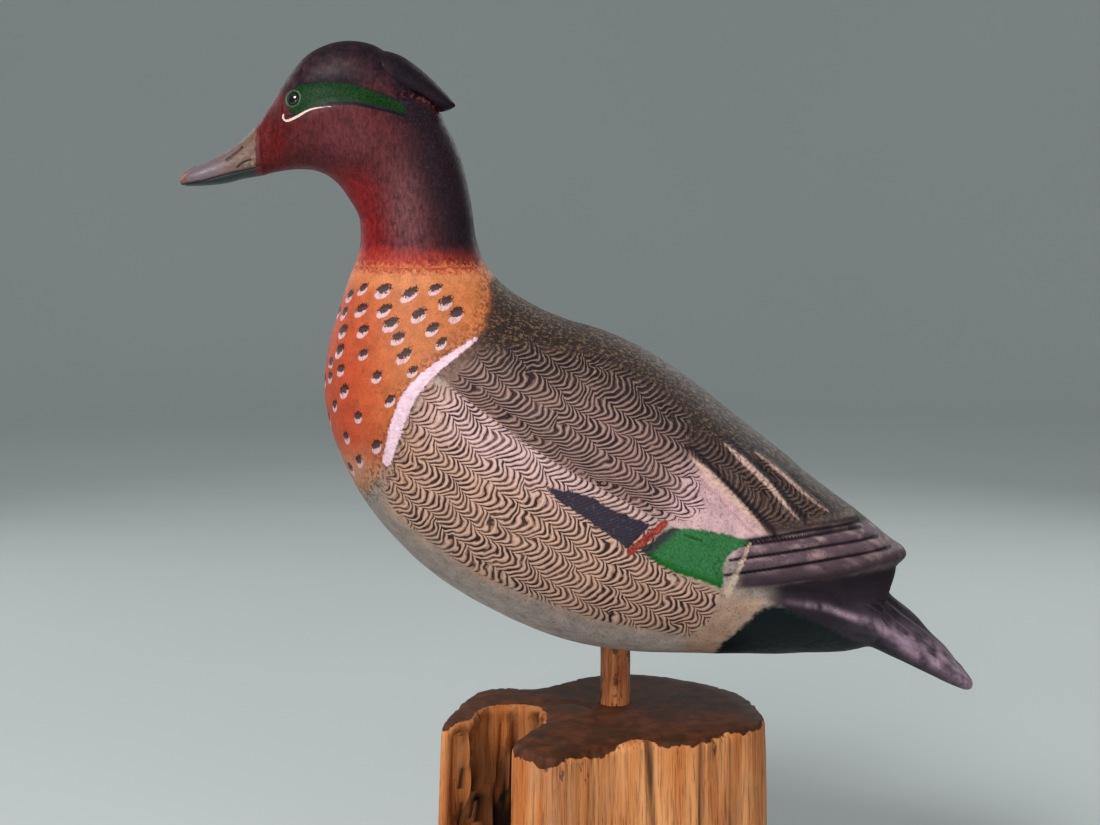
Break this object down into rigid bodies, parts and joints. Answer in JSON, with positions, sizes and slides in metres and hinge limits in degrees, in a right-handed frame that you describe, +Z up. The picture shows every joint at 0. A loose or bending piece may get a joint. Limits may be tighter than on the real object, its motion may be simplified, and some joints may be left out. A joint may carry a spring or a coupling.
{
  "type": "stick-mounted duck decoy",
  "caption": "Carved and painted wooden teal decoy with glass eyes, turning and lifting off on a round stick set in a weathered wooden post.",
  "frame": {"origin": "on the stick's axis at the underside of the post, where the post stands on its support", "axes": "+Z up along the stick; the bird faces -Y; +X is the bird's left side"},
  "size_m": [0.139, 0.3252, 0.3726],
  "materials": {
    "painted_body": "oil paint over carved wood, satin",
    "painted_head": "oil paint over carved wood, satin",
    "painted_bill": "oil paint over hardwood, satin",
    "glass_eye": "polished",
    "putty": "painted putty",
    "steel_hardware": "zinc plated",
    "dowel_wood": "bare birch",
    "block_wood": "bare hardwood",
    "stick_wood": "stained dowel, worn",
    "post_wood": "weathered wood, painted dark on top"
  },
  "bodies": {
    "stand": {"post": "post_wood"},
    "stick": {"stand_stick": "stick_wood"},
    "decoy": {"body_upper": "painted_body", "body_lower": "painted_body", "head": "painted_head", "bill": "painted_bill", "eye_left": "glass_eye", "eye_right": "glass_eye", "eye_putty_left": "putty", "eye_putty_right": "putty", "neck_screw": "steel_hardware", "neck_washer": "steel_hardware", "neck_pin_front": "dowel_wood", "neck_pin_rear": "dowel_wood", "body_pin_front_left": "dowel_wood", "body_pin_front_right": "dowel_wood", "body_pin_rear_left": "dowel_wood", "body_pin_rear_right": "dowel_wood", "stick_block": "block_wood", "stick_block_screw_front": "steel_hardware", "stick_block_screw_rear": "steel_hardware"}
  },
  "joints": [
    {"name": "swivel", "type": "hinge", "parent": "stand", "child": "stick", "pos_m": [0, 0, 0.1], "axis": [0, 0, 1], "continuous": true},
    {"name": "lift_off", "type": "slide", "parent": "stick", "child": "decoy", "axis": [0, 0, 1], "range_m": [0, 0.06]}
  ]
}
